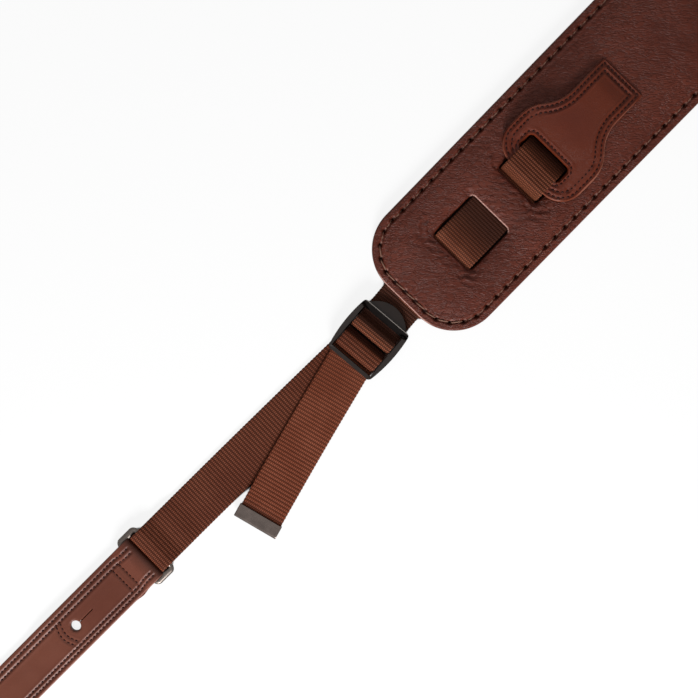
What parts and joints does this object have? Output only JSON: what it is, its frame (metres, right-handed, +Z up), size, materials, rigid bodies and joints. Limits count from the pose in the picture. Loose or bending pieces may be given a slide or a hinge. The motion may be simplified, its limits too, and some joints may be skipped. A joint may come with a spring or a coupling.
{
  "type": "guitar strap",
  "caption": "Padded leather guitar strap with webbing adjuster, ladder buckle, ring, slotted pad with leather toggle, and strap button holes at both ends.",
  "frame": {"origin": "on the table, under the middle of the shoulder pad's underside", "axes": "+X along the strap from the adjustable front end to the rear tongue, +Z up out of the pad's front leather, +Y to the left of +X"},
  "size_m": [1.1248, 0.0933, 0.0138],
  "materials": {
    "pad_leather": "soft grained nappa with a dull sheen",
    "toggle_leather": "smooth, satin, rounded edges",
    "end_leather": "smooth, polished",
    "webbing": "ribbed woven webbing",
    "edge_thread": "waxed saddle thread",
    "fine_thread": "bonded thread",
    "foam": "closed cell foam",
    "buckle_plastic": "moulded, satin black",
    "ring_metal": "dark gunmetal, satin",
    "clip_metal": "dark brushed, lacquered"
  },
  "bodies": {
    "pad": {"pad_back_leather": "pad_leather", "pad_foam": "foam", "pad_front_leather": "pad_leather", "pad_edge_stitching": "edge_thread", "pad_webbing": "webbing", "pad_webbing_bend": "webbing", "pad_webbing_stitching": "fine_thread", "toggle_fold": "webbing", "tongue_lining": "end_leather", "tongue_top": "end_leather", "tongue_stitching": "fine_thread"},
    "toggle": {"toggle_lining": "toggle_leather", "toggle_top": "toggle_leather", "toggle_stitching": "fine_thread", "toggle_webbing": "webbing"},
    "buckle": {"buckle": "buckle_plastic", "buckle_loop_webbing": "webbing", "adjuster_turn": "webbing"},
    "adjuster": {"adjuster_strand": "webbing", "adjuster_ring_loop": "webbing", "adjuster_stitching": "fine_thread"},
    "tail": {"tail_strand": "webbing", "tail_clip": "clip_metal"},
    "ring": {"ring": "ring_metal"},
    "leather_end": {"end_strap_lining": "end_leather", "end_strap_top": "end_leather", "end_strap_stitching": "fine_thread"}
  },
  "joints": [
    {"name": "toggle_lift", "type": "hinge", "parent": "pad", "child": "toggle", "pos_m": [-0.1962, -0.0007, 0.009], "axis": [0, -1, 0], "range_deg": [0, 75], "deforming": ["toggle_fold"]},
    {"name": "buckle_swing", "type": "hinge", "parent": "pad", "child": "buckle", "pos_m": [-0.3031, -0.0007, 0.00155], "axis": [0, 1, 0], "range_deg": [-60, 60], "deforming": ["pad_webbing_bend"]},
    {"name": "length_adjust", "type": "slide", "parent": "buckle", "child": "adjuster", "axis": [0.9997, -0.0227, 0], "range_m": [-0.065, 0.05], "deforming": ["adjuster_strand"]},
    {"name": "tail_feed", "type": "slide", "parent": "buckle", "child": "tail", "axis": [-0.9693, -0.2459, 0], "range_m": [-0.065, 0.05], "deforming": ["tail_strand"]},
    {"name": "ring_swing", "type": "hinge", "parent": "adjuster", "child": "ring", "pos_m": [-0.5236, 0.00378, 0.0036], "axis": [0.0175, 0.9998, 0], "range_deg": [-60, 60]},
    {"name": "leather_end_swing", "type": "hinge", "parent": "ring", "child": "leather_end", "pos_m": [-0.53779, 0.00403, 0.0036], "axis": [0.0115, 0.9999, 0], "range_deg": [-60, 60]}
  ],
  "couplings": [
    {"joint": "tail_feed", "follows": "length_adjust", "ratio": 1}
  ]
}
